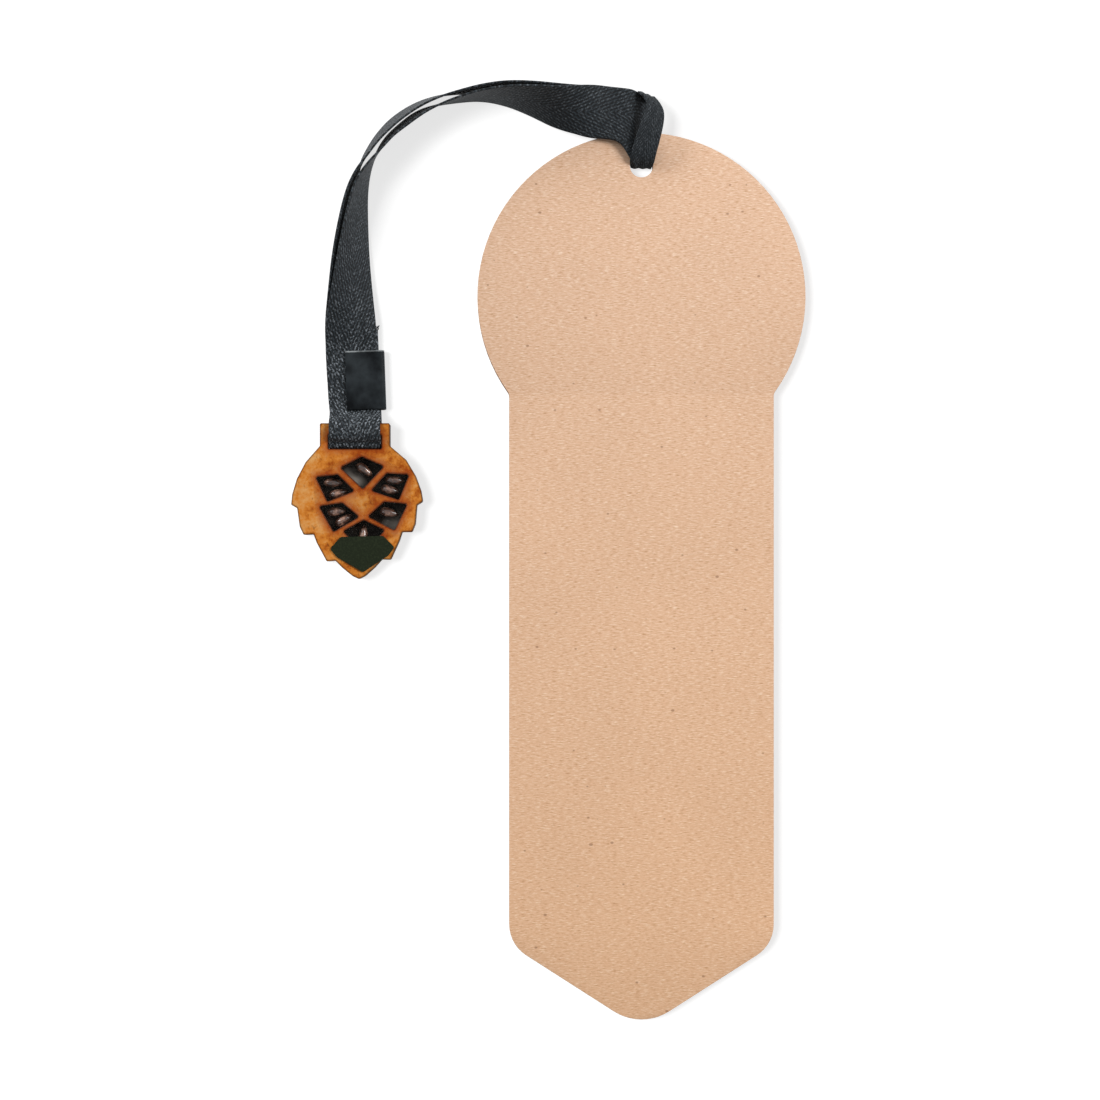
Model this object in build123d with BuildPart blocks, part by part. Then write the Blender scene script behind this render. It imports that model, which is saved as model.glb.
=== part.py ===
"""Kraft-board bookmark with a woven ribbon, a clip and a wooden pine-cone charm that holds seeds.

The card lies on its back with its head towards +Y. The origin is the middle of its back face.
The ribbon leaves the head to the left and comes down beside the card, and the charm hangs on its loop.
Units are millimetres and degrees.
"""

import os
from math import asin, atan2, cos, degrees, hypot, radians, sin, sqrt, tan

from build123d import *

# Card
card_thickness = 2.0
card_length = 173.0
head_radius = 32.0
body_width = 51.6
neck_radius = 1.5
foot_angle = 32.6
foot_corner_radius = 7.2
foot_tip_radius = 10.0
hole_diameter = 4.5
hole_to_top_edge = 6.5

# Ribbon
ribbon_width = 10.0
ribbon_thickness = 0.4
layer_gap = 0.2
soft_clearance = 0.3

# Knot
hole_clearance = 0.17
knot_lean = 11.0
knot_above_card = 8.7
knot_hole_offset = 0.65
root_above_hole = 10.1
root_clearance = 0.25
root_end_x = 4.8
root_bunch_width = 2.4
fold_line_x = -6.0
fold_line_gap = 0.3

# Clip
clip_thickness = 0.4
clip_length = 11.5
clip_cover = 7.2
clip_clearance = 0.1
clip_spine_clearance = 0.15
clip_x = -56.1
clip_below_hole = 41.8
clip_layer_z = 0.8
clip_lean = 2.0
clip_bend_radius = 0.35
clip_mouth_gap = 0.6
loop_shift = 0.3
tail_length = 4.4

# Charm
bar_below_clip = 3.25
bar_height = 2.2
bar_clearance = 0.15
plate_thickness = 3.0
prong_width = 1.6
prong_height = 4.4
slot_clearance = 0.2
slot_depth = 2.8
slot_radius = 0.3
charm_turn = 1.5
window_shift = 1.2
label_shift = 0.8
tip_clearance = 0.15
outline_radius = 0.35
film_thickness = 0.12
film_radius = 1.2
label_thickness = 0.12
label_radius = 0.5

# Outlines on the charm: distance from its axis and depth below its shoulder
tip_depth = 25.9
charm_scales = [
    (9.75, 2.9),
    (11.55, 6.1),
    (12.55, 9.1),
    (12.8, 11.1),
    (11.65, 11.8),
    (11.25, 15.4),
    (10.55, 17.0),
    (8.6, 16.95),
    (8.05, 18.6),
    (6.2, 22.3),
    (4.5, 22.2),
    (3.2, 23.6),
    (1.2, 25.3),
]

# Windows, films and label, from the axis of the windows, which is off the middle of the plate
top_window = [(0.0, 2.15), (4.25, 4.15), (0.0, 8.4), (-4.25, 4.15)]
bottom_window = [(0.0, 14.45), (4.05, 16.5), (0.0, 21.0), (-4.05, 16.5)]
upper_window = [(9.1, 5.85), (6.95, 10.7), (1.6, 8.75), (4.75, 5.5)]
lower_window = [(8.6, 11.55), (5.95, 16.6), (0.85, 13.8), (4.1, 11.0)]
film_outline = [(0.0, 1.3), (4.7, 3.15), (9.55, 5.3), (9.3, 12.0), (6.5, 17.3), (0.0, 21.7)]
label_outline = [
    (4.15, tip_depth - 8.3),
    (6.3, tip_depth - 6.0),
    (5.0, tip_depth - 4.4),
    (0.0, tip_depth - 1.3),
]

# Seeds: the profile is distance along a seed and its radius there, from the blunt end to the pointed one.
# A place is distance from the windows' axis, depth below its shoulder and the turn of the seed's long axis.
seed_clearance = 0.05
seed_profile = [(-2.0, 0.4), (-1.75, 0.7), (-1.1, 0.95), (-0.1, 0.9), (1.1, 0.5), (2.0, 0.1)]
seeds = {
    "seed_top": (0.4, 4.75, -40.0),
    "seed_upper_left_outer": (-5.9, 6.95, -4.0),
    "seed_upper_left_inner": (-4.9, 8.9, 15.0),
    "seed_upper_right_outer": (6.2, 6.83, -8.0),
    "seed_upper_right_inner": (5.2, 8.83, -15.0),
    "seed_lower_left_outer": (-5.3, 12.45, 5.0),
    "seed_lower_left_inner": (-3.9, 14.1, 32.0),
    "seed_lower_right": (4.9, 13.2, -15.0),
    "seed_bottom": (-0.2, 17.2, 80.0),
}

# Places on the card
top_y = card_length / 2
head_y = top_y - head_radius
hole_y = top_y - hole_to_top_edge
foot_tip_y = -card_length / 2 - foot_tip_radius * (1 / cos(radians(foot_angle)) - 1)
foot_corner_y = foot_tip_y + body_width / 2 * tan(radians(foot_angle))

# Layers of the ribbon, and the surface that the bookmark lies on
layer_pitch = ribbon_thickness + layer_gap
stack_height = layer_pitch + ribbon_thickness
floor_z = -soft_clearance - ribbon_thickness
root_bottom_z = card_thickness + root_clearance
root_middle_z = root_bottom_z + stack_height / 2

# Routes of the ribbon's two strands, from the fold line at the knot down to the clip.
# A flat strip can't turn a corner, so in the bend each strand stands on its inner edge and leans inwards.
# A station is x, y above the hole, z and the roll that lifts the strand's outer edge.
fold_start_x = fold_line_x - fold_line_gap / 2
front_route = [
    (fold_start_x, root_above_hole, root_middle_z + layer_pitch / 2, 0.0),
    (-10.3, root_above_hole, 4.20, 16.0),
    (-16.1, 10.40, 5.25, 52.0),
    (-21.2, 11.90, 5.05, 70.0),
    (-26.15, 12.90, 4.85, 83.0),
    (-31.15, 13.05, 4.70, 94.0),
    (-35.9, 12.20, 4.60, 100.0),
    (-40.0, 11.10, 4.50, 106.0),
    (-43.4, 9.65, 4.40, 110.0),
    (-46.85, 7.00, 4.40, 109.0),
    (-49.15, 5.00, 4.45, 107.0),
    (-51.1, 2.25, 4.45, 103.0),
    (-52.95, -0.85, 4.45, 93.0),
    (-54.3, -4.15, 4.55, 82.0),
    (-55.05, -8.15, 4.60, 74.0),
    (-55.9, -17.30, 4.45, 59.0),
    (-56.3, -25.65, 3.90, 40.0),
    (-56.45, -30.80, 2.55, 15.0),
    (-56.25, -36.00, clip_layer_z + layer_pitch / 2, 0.0),
    (clip_x, -clip_below_hole, clip_layer_z + layer_pitch / 2, 0.0),
]
back_route = [
    (fold_start_x, root_above_hole, root_middle_z - layer_pitch / 2, 0.0),
    (-10.3, root_above_hole, 3.40, 13.0),
    (-16.1, 11.15, 4.40, 52.0),
    (-21.3, 13.10, 4.60, 75.0),
    (-26.35, 14.15, 4.60, 87.0),
    (-31.25, 14.30, 4.55, 97.0),
    (-36.0, 13.60, 4.45, 103.0),
    (-39.5, 12.90, 4.35, 107.0),
    (-43.65, 11.30, 4.30, 110.0),
    (-47.75, 8.60, 4.25, 111.0),
    (-50.45, 5.90, 4.30, 109.0),
    (-52.25, 3.60, 4.35, 106.0),
    (-54.0, 0.75, 4.40, 103.0),
    (-55.55, -2.70, 4.40, 92.0),
    (-56.6, -7.35, 4.40, 81.0),
    (-57.2, -16.95, 4.05, 62.0),
    (-57.0, -25.25, 3.30, 42.0),
    (-56.8, -30.80, 1.85, 14.0),
    (-56.25, -36.00, clip_layer_z - layer_pitch / 2, 0.0),
    (clip_x, -clip_below_hole, clip_layer_z - layer_pitch / 2, 0.0),
]


def finish(builder, name):
    """Label a finished piece and write its file."""
    builder.part.label = name
    export_step(builder.part, f"parts/{name}.step")


os.makedirs("parts", exist_ok=True)

# Card: a round head on a straight body, with a pointed foot
with BuildPart() as card:
    with BuildSketch() as card_outline:
        with Locations((0, head_y)):
            Circle(head_radius)
        with BuildLine():
            Polyline(
                (-body_width / 2, head_y),
                (-body_width / 2, foot_corner_y),
                (0, foot_tip_y),
                (body_width / 2, foot_corner_y),
                (body_width / 2, head_y),
                close=True,
            )
        make_face()
        fillet(card_outline.vertices().group_by(Axis.Y)[2], neck_radius)
        fillet(card_outline.vertices().group_by(Axis.Y)[1], foot_corner_radius)
        fillet(card_outline.vertices().group_by(Axis.Y)[0], foot_tip_radius)
        with Locations((0, hole_y)):
            Circle(hole_diameter / 2, mode=Mode.SUBTRACT)
    extrude(amount=card_thickness)
finish(card, "card")

# Knot: the bight comes through the hole, over the strands and back behind the top edge
knot_direction = Vector(sin(radians(knot_lean)), cos(radians(knot_lean)), 0)
knot_plane = Plane(
    origin=(0, hole_y, 0),
    x_dir=knot_direction,
    z_dir=knot_direction.cross(Vector(0, 0, 1)),
)
knot_reach = hole_to_top_edge + knot_above_card
knot_top_z = root_bottom_z + stack_height + soft_clearance + ribbon_thickness
knot_slope_end = knot_hole_offset + hole_diameter
band_in_hole = hole_diameter / 2 - hole_clearance
knot_half_width = sqrt(band_in_hole**2 - (knot_hole_offset + ribbon_thickness) ** 2)
with BuildPart() as knot_loop:
    with BuildSketch(knot_plane):
        with BuildLine():
            FilletPolyline(
                (knot_hole_offset, floor_z),
                (knot_reach, floor_z),
                (knot_reach, knot_top_z),
                (knot_slope_end, knot_top_z),
                (knot_hole_offset, card_thickness + ribbon_thickness),
                radius=3 * ribbon_thickness,
                close=True,
            )
        make_face()
        offset(amount=-ribbon_thickness, mode=Mode.SUBTRACT)
    extrude(amount=knot_half_width, both=True)
finish(knot_loop, "knot_loop")

# Ribbon root: the two strands under the bight, bunched towards the hole
root_left_x = fold_line_x + fold_line_gap / 2
root_low_y = hole_y + root_above_hole - ribbon_width / 2
root_high_y = hole_y + root_above_hole + ribbon_width / 2
knot_left_x = -knot_half_width - soft_clearance
with BuildPart() as ribbon_root:
    with BuildSketch(Plane.XY.offset(root_bottom_z)):
        with BuildLine():
            Polyline(
                (root_left_x, root_low_y),
                (root_left_x, root_high_y),
                (knot_left_x, root_high_y - 2 * ribbon_thickness),
                (root_end_x, root_high_y - ribbon_width / 3),
                (root_end_x, root_low_y + ribbon_width / 4),
                (knot_left_x, root_low_y),
                (knot_left_x, hole_y),
                (knot_left_x - root_bunch_width / 2, hole_y),
                (knot_left_x - root_bunch_width, root_low_y),
                close=True,
            )
        make_face()
    extrude(amount=stack_height)
finish(ribbon_root, "ribbon_root")


def ribbon_planes(route):
    """Give the section planes along the route of one strand of the ribbon."""
    points = [Vector(x, hole_y + y, z) for x, y, z, roll in route]
    planes = []
    for index, (x, y, z, roll) in enumerate(route):
        before = points[max(index - 1, 0)]
        after = points[min(index + 1, len(points) - 1)]
        heading = Vector(after.X - before.X, after.Y - before.Y, 0).normalized()
        inner = Vector(0, 0, 1).cross(heading)
        across = inner * cos(radians(roll)) - Vector(0, 0, 1) * sin(radians(roll))
        planes.append(Plane(origin=points[index], x_dir=across, z_dir=heading))
    return planes


def lay_strand(name, route):
    """Loft one strand of the ribbon through its section planes."""
    planes = ribbon_planes(route)
    with BuildPart() as strand:
        for plane, next_plane in zip(planes, planes[1:]):
            with BuildSketch(plane):
                Rectangle(ribbon_width, ribbon_thickness)
            with BuildSketch(next_plane):
                Rectangle(ribbon_width, ribbon_thickness)
            loft(ruled=True)
    finish(strand, name)
    origins = [plane.origin for plane in planes]
    length = sum((end - start).length for start, end in zip(origins, origins[1:]))
    section_volume = length * ribbon_width * ribbon_thickness
    volume = strand.part.volume
    print(f"{name}: length {length:.1f}, volume {volume:.1f}, section x length {section_volume:.1f}")


lay_strand("ribbon_front_strand", front_route)
lay_strand("ribbon_back_strand", back_route)

# Clip: a strip folded round the right edge of the ribbon, over three layers
loop_x = clip_x + loop_shift
clip_y = hole_y - clip_below_hole
front_layer_z = clip_layer_z + layer_pitch / 2
back_layer_z = clip_layer_z - layer_pitch / 2
tail_layer_z = back_layer_z - ribbon_thickness - clip_clearance
clip_inner_top = front_layer_z + ribbon_thickness / 2 + clip_clearance
clip_inner_bottom = tail_layer_z - ribbon_thickness / 2 - clip_clearance
clip_direction = Vector(sin(radians(clip_lean)), -cos(radians(clip_lean)), 0)
clip_plane = Plane(
    origin=(loop_x, clip_y, 0),
    x_dir=clip_direction.cross(Vector(0, 0, -1)),
    z_dir=clip_direction,
)
clip_spine_x = ribbon_width / 2 + clip_spine_clearance + clip_length / 2 * sin(radians(clip_lean))
clip_lip_x = clip_spine_x - clip_cover
with BuildPart() as ribbon_clip:
    with BuildSketch(clip_plane):
        with BuildLine():
            FilletPolyline(
                (clip_lip_x, clip_inner_top),
                (clip_spine_x, clip_inner_top),
                (clip_spine_x, clip_inner_bottom),
                (clip_lip_x, clip_inner_bottom),
                radius=clip_bend_radius,
            )
            offset(amount=clip_thickness, side=Side.LEFT)
        make_face()
    extrude(amount=clip_length / 2, both=True)
finish(ribbon_clip, "ribbon_clip")

# Bar loop: the ribbon goes round the bar of the charm, and its tail ends behind the clip
loop_radius = hypot(bar_height / 2, plate_thickness / 2) + bar_clearance
loop_start_y = clip_y - layer_gap
tail_end_y = clip_y + clip_length / 2 + tail_length
lead_y = clip_y - clip_length / 2 - clip_mouth_gap
lead_front_z = front_layer_z - ribbon_thickness / 2
lead_tail_z = tail_layer_z + ribbon_thickness / 2
bar_y = lead_y - bar_below_clip
bar_z = floor_z + clip_clearance + ribbon_thickness + loop_radius


def leg_slope(lead_z, side):
    """Give the slope of the leg that rises from the clip and touches the bar's circle on one side."""
    run = lead_y - bar_y
    rise = bar_z - lead_z
    return degrees(atan2(rise, run) + side * asin(loop_radius / hypot(run, rise)))


front_slope = leg_slope(lead_front_z, 1)
back_slope = leg_slope(lead_tail_z, -1)
bar_wrap = 180 + front_slope - back_slope
with BuildPart() as ribbon_bar_loop:
    with BuildSketch(Plane.YZ.offset(loop_x)):
        with BuildLine():
            for outset in (0, ribbon_thickness):
                bar_arc = CenterArc((bar_y, bar_z), loop_radius + outset, 90 - front_slope, bar_wrap)
                front_bend_y = lead_y + outset * tan(radians(front_slope / 2))
                back_bend_y = lead_y - outset * tan(radians(back_slope / 2))
                front_z = lead_front_z + outset
                tail_z = lead_tail_z - outset
                Polyline((loop_start_y, front_z), (front_bend_y, front_z), bar_arc @ 0)
                Polyline(bar_arc @ 1, (back_bend_y, tail_z), (tail_end_y, tail_z))
            Line((loop_start_y, lead_front_z), (loop_start_y, front_z))
            Line((tail_end_y, lead_tail_z), (tail_end_y, tail_z))
        make_face()
    extrude(amount=ribbon_width / 2, both=True)
finish(ribbon_bar_loop, "ribbon_bar_loop")

# Charm: its plane passes through the bar, and it droops until its tip meets the surface below
shoulder_below_bar = prong_height - bar_height / 2
slot_half_width = ribbon_width / 2 + slot_clearance
prong_outer = slot_half_width + prong_width
tip_drop = bar_z - plate_thickness / 2 - floor_z - tip_clearance
charm_droop = asin(tip_drop / (shoulder_below_bar + tip_depth))
charm_plane = Plane(
    origin=(loop_x, bar_y, bar_z),
    x_dir=(1, 0, 0),
    z_dir=(0, -sin(charm_droop), cos(charm_droop)),
)


def below_bar(points, shift=0.0):
    """Move points given below the shoulder into the charm's plane, and turn them about the bar."""
    moved = []
    for across, depth in points:
        x = across + shift
        y = -shoulder_below_bar - depth
        turn = radians(charm_turn)
        moved.append((x * cos(turn) - y * sin(turn), x * sin(turn) + y * cos(turn)))
    return moved


def mirrored(points):
    """Give the left half of an outline whose right half runs from its top down."""
    return [(-across, depth) for across, depth in reversed(points) if across > 0]


window_shapes = [below_bar(top_window, window_shift), below_bar(bottom_window, window_shift)]
for window in (upper_window, lower_window):
    window_shapes.append(below_bar(window, window_shift))
    window_shapes.append(below_bar(mirrored(window), window_shift))

with BuildPart() as cone_plate:
    with BuildSketch(charm_plane.offset(-plate_thickness / 2)) as cone_outline:
        right_prong = [(prong_outer, bar_height / 2), (prong_outer, -shoulder_below_bar)]
        left_prong = [(-across, y) for across, y in reversed(right_prong)]
        scales = below_bar([*charm_scales, (0, tip_depth), *mirrored(charm_scales)])
        Polygon(*right_prong, *scales, *left_prong, align=None)
        for shape in window_shapes:
            Polygon(*shape, align=None, mode=Mode.SUBTRACT)
        fillet(cone_outline.vertices(), outline_radius)
        with Locations((0, -(bar_height + slot_depth) / 2)):
            RectangleRounded(2 * slot_half_width, slot_depth, slot_radius, mode=Mode.SUBTRACT)
    extrude(amount=plate_thickness)
finish(cone_plate, "cone_plate")


def cover(name, outline, shift, bottom, thickness, radius):
    """Make a thin flat cover that lies on the charm."""
    with BuildPart() as sheet:
        with BuildSketch(charm_plane.offset(bottom)) as sheet_outline:
            Polygon(*below_bar(outline + mirrored(outline), shift), align=None)
            fillet(sheet_outline.vertices(), radius)
        extrude(amount=thickness)
    finish(sheet, name)


plate_front = plate_thickness / 2
back_film_bottom = -plate_front - film_thickness
label_bottom = plate_front + film_thickness
cover("front_film", film_outline, window_shift, plate_front, film_thickness, film_radius)
cover("back_film", film_outline, window_shift, back_film_bottom, film_thickness, film_radius)
cover("seal_label", label_outline, label_shift, label_bottom, label_thickness, label_radius)

# Seeds: grains with one blunt and one pointed end, which lie on the back film
seed_radius = max(radius for along, radius in seed_profile)
seed_level = seed_radius + seed_clearance - plate_thickness / 2
seed_start = seed_profile[0][0]
seed_end = seed_profile[-1][0]
for name, (across, depth, turn) in seeds.items():
    seed_x, seed_y = below_bar([(across, depth)], window_shift)[0]
    seed_origin = charm_plane.from_local_coords((seed_x, seed_y, seed_level))
    seed_plane = Plane(origin=seed_origin, x_dir=charm_plane.x_dir, z_dir=charm_plane.z_dir)
    seed_plane = seed_plane.rotated((0, 0, turn + charm_turn))
    with BuildPart() as seed:
        with BuildSketch(seed_plane):
            with BuildLine():
                Polyline((seed_start, 0), *seed_profile, (seed_end, 0), close=True)
            make_face()
        revolve(axis=Axis(seed_plane.origin, seed_plane.x_dir))
    finish(seed, name)

fold_line_y = hole_y + root_above_hole
fold_line_z = root_bottom_z + stack_height
print(f"fold line at x {fold_line_x:.2f} y {fold_line_y:.2f} z {fold_line_z:.2f}")
print(f"bar at x {loop_x:.2f} y {bar_y:.2f} z {bar_z:.2f}, surface at z {floor_z:.2f}")
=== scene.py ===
"""Looks of the bookmark: kraft board, woven ribbon, clip and pine-cone charm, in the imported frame."""

import logging
import math
import random
from dataclasses import dataclass, field, replace
from enum import Enum

import bpy
import numpy as np
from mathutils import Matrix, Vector
from mathutils.kdtree import KDTree


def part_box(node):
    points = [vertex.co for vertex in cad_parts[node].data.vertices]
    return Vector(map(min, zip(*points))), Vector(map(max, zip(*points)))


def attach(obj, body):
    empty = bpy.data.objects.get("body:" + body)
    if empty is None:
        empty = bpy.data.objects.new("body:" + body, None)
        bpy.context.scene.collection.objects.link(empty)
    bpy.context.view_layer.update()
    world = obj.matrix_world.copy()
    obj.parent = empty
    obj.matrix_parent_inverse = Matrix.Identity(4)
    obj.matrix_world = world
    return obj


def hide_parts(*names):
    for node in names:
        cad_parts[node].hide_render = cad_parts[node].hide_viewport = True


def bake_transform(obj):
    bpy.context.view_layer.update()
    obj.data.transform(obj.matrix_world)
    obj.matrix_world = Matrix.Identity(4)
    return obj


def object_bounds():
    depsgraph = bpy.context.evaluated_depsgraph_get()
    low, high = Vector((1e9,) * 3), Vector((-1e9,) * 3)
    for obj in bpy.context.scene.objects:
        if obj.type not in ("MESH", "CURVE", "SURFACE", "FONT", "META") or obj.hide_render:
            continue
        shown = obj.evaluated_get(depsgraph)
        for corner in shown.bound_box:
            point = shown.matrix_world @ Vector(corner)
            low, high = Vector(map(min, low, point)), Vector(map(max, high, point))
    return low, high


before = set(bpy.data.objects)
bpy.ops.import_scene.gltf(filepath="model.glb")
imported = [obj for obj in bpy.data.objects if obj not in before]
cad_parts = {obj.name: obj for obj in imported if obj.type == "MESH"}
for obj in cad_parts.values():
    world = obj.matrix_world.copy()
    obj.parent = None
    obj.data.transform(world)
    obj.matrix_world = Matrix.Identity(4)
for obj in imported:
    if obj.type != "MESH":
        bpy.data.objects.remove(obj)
CAD_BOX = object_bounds()

MM = 0.001
HOLE_Y = 80.0
log = logging.getLogger("bookmark")

Piece = bpy.types.Object
Node = bpy.types.Node
Tree = bpy.types.NodeTree
Inputs = dict[str | int, object]
Colour = tuple[float, float, float, float]
Place = tuple[float, float, float]
Station = tuple[float, float, float, float]


class Body(Enum):
    """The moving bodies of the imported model."""

    CARD = "card"
    RIBBON = "ribbon"
    CONE = "cone"


class Slot(Enum):
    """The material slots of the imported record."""

    BOARD = "kraft_board"
    RIBBON = "ribbon"
    CLIP = "clip"
    WOOD = "charm_wood"
    SEED = "seed"


class Lit(Enum):
    """What a lamp lights, by how its light linking treats the table top."""

    TABLE = "INCLUDE"
    OBJECT = "EXCLUDE"


def linear(hex_colour: str) -> Colour:
    """Turn an sRGB hex colour into linear RGBA.

    Args:
        hex_colour: Six hex digits after a hash sign.

    Returns:
        Linear red, green, blue and an alpha of 1.
    """
    parts = [int(hex_colour[i : i + 2], 16) / 255 for i in (1, 3, 5)]
    red, green, blue = (p / 12.92 if p <= 0.04045 else ((p + 0.055) / 1.055) ** 2.4 for p in parts)
    return red, green, blue, 1.0


def add_node(tree: Tree, kind: str, inputs: Inputs | None = None, **settings: object) -> Node:
    """Add a node with its settings, values and links.

    Args:
        tree: The node tree of a material or world.
        kind: The node's type name, without the ShaderNode that it starts with.
        inputs: By name or index, a value, a socket, or a node whose first live output is linked.
        settings: Options of the node; stops gives a colour ramp as (place, hex colour) pairs.

    Returns:
        The new node.
    """
    node = tree.nodes.new("ShaderNode" + kind)
    stops = settings.pop("stops", ())
    for key, value in settings.items():
        setattr(node, key, value)
    if stops:
        elements = node.color_ramp.elements
        while len(elements) < len(stops):
            elements.new(1.0)
        for element, (place, colour) in zip(elements, stops):
            element.position = place
            element.color = linear(colour)
    for key, value in (inputs or {}).items():
        if isinstance(value, Node):
            value = next(socket for socket in value.outputs if socket.enabled)
        if isinstance(value, bpy.types.NodeSocket):
            tree.links.new(value, node.inputs[key])
        else:
            node.inputs[key].default_value = value
    return node


@dataclass(frozen=True)
class Finish:
    """A finish that makes its material once, with one Principled shader."""

    name: str = "finish"

    def material(self) -> bpy.types.Material:
        """Give the material, made at its first use.

        Returns:
            The node-based material.
        """
        found = bpy.data.materials.get(self.name)
        if found:
            return found
        material = bpy.data.materials.new(self.name)
        material.use_nodes = True
        tree = material.node_tree
        tree.nodes.clear()
        shader = add_node(tree, "BsdfPrincipled", self.paint(tree))
        add_node(tree, "OutputMaterial", {"Surface": shader})
        return material

    def paint(self, tree: Tree) -> Inputs:
        """Add the nodes of the pattern; each finish has its own way.

        Args:
            tree: The material's node tree.

        Returns:
            A value or a link for each of the shader's sockets.
        """
        raise NotImplementedError


@dataclass(frozen=True)
class KraftBoard(Finish):
    """Uncoated kraft board, die-cut: matt, with fibres across it, bark specks and a brown cut edge."""

    name: str = "uncoated kraft board"
    base: str = "#E1BA9C"
    light_fibre: str = "#F6DEC8"
    dark_fibre: str = "#C2946F"
    speck: str = "#8C6044"
    edge: str = "#8E6444"
    edge_dark: str = "#6A4830"
    foot_tint: str = "#FFF8EC"
    fibre_length_mm: float = 1.5
    # Real fibres are about 0.03 mm wide. They are drawn coarser, so that they show.
    fibre_width_mm: float = 0.17
    cloud_mm: float = 26.0
    speck_pitch_mm: float = 6.5
    ply_per_mm: tuple[float, float] = (0.3, 4.0)
    foot_tint_from_to_mm: tuple[float, float] = (60.0, -85.0)

    def paint(self, tree: Tree) -> Inputs:
        """Paint fibres, clouds, specks and the cut edge from the board's own place.

        Args:
            tree: The material's node tree.

        Returns:
            A value or a link for each of the shader's sockets.
        """
        where = add_node(tree, "TexCoord").outputs
        place = where["Object"]
        length, width = MM * self.fibre_length_mm, MM * self.fibre_width_mm
        across = add_node(tree, "Mapping", {"Vector": place, "Scale": (1 / length, 1 / width, 1 / MM)})
        fibres = add_node(
            tree,
            "TexNoise",
            {"Vector": across, "Scale": 1.0, "Detail": 3.0, "Roughness": 0.65, "Distortion": 0.3},
        )
        turn, finer_scale = (0.0, 0.0, math.radians(4)), (1.9 / length, 1.3 / width, 1 / MM)
        finer = add_node(tree, "Mapping", {"Vector": place, "Rotation": turn, "Scale": finer_scale})
        short_fibres = add_node(
            tree, "TexNoise", {"Vector": finer, "Scale": 1.0, "Detail": 2.0, "Roughness": 0.6}
        )
        tangled = add_node(tree, "Mix", {0: 0.45, 2: fibres, 3: short_fibres}, data_type="FLOAT")
        tones = [
            (0.355, self.dark_fibre),
            (0.475, self.base),
            (0.525, self.base),
            (0.645, self.light_fibre),
        ]
        face = add_node(tree, "ValToRGB", {0: tangled}, stops=tones)
        cloud = add_node(
            tree, "TexNoise", {"Vector": place, "Scale": 1 / (MM * self.cloud_mm), "Detail": 2.0}
        )
        cloud_level = add_node(
            tree,
            "MapRange",
            {0: cloud, "From Min": 0.3, "From Max": 0.7, "To Min": 0.975, "To Max": 1.02},
        )
        clouded = add_node(
            tree, "Mix", {0: 1.0, 6: face, 7: cloud_level}, data_type="RGBA", blend_type="MULTIPLY"
        )
        # The board is drawn a little darker and warmer from the head towards the foot.
        along = add_node(tree, "SeparateXYZ", {0: place}).outputs["Y"]
        head, foot = self.foot_tint_from_to_mm
        to_foot = add_node(tree, "MapRange", {0: along, "From Min": head * MM, "From Max": foot * MM})
        foot_tinted = add_node(
            tree,
            "Mix",
            {0: to_foot, 6: clouded, 7: linear(self.foot_tint)},
            data_type="RGBA",
            blend_type="MULTIPLY",
        )
        pitch = MM * self.speck_pitch_mm
        speck_place = add_node(tree, "Mapping", {"Vector": place, "Scale": (0.7 / pitch, 1 / pitch, 0.0)})
        specks = add_node(
            tree, "TexVoronoi", {"Vector": speck_place, "Scale": 1.0}, voronoi_dimensions="2D"
        ).outputs
        speck_size = add_node(tree, "MapRange", {0: specks["Color"], "From Min": 0.35, "To Max": 0.05})
        speck_gap = add_node(tree, "Math", {0: speck_size, 1: specks["Distance"]}, operation="SUBTRACT")
        speck_mask = add_node(
            tree, "MapRange", {0: speck_gap, "From Min": -0.006, "From Max": 0.016, "To Max": 0.6}
        )
        specked = add_node(tree, "Mix", {0: speck_mask, 6: foot_tinted, 7: linear(self.speck)}, data_type="RGBA")
        normal = add_node(tree, "SeparateXYZ", {0: where["Normal"]}).outputs["Z"]
        upright = add_node(tree, "Math", {0: normal}, operation="ABSOLUTE")
        wall = add_node(tree, "MapRange", {0: upright, "From Min": 0.85, "From Max": 0.45})
        flat, deep = (count / MM for count in self.ply_per_mm)
        plies = add_node(tree, "Mapping", {"Vector": place, "Scale": (flat, flat, deep)})
        ply_noise = add_node(tree, "TexNoise", {"Vector": plies, "Scale": 1.0, "Detail": 3.0})
        cut = add_node(tree, "ValToRGB", {0: ply_noise}, stops=[(0.35, self.edge_dark), (0.65, self.edge)])
        colour = add_node(tree, "Mix", {0: wall, 6: specked, 7: cut}, data_type="RGBA")
        bump = add_node(tree, "Bump", {"Height": fibres, "Strength": 0.35, "Distance": 0.05 * MM})
        return {"Base Color": colour, "Normal": bump, "Roughness": 0.88, "Specular IOR Level": 0.1}


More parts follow.
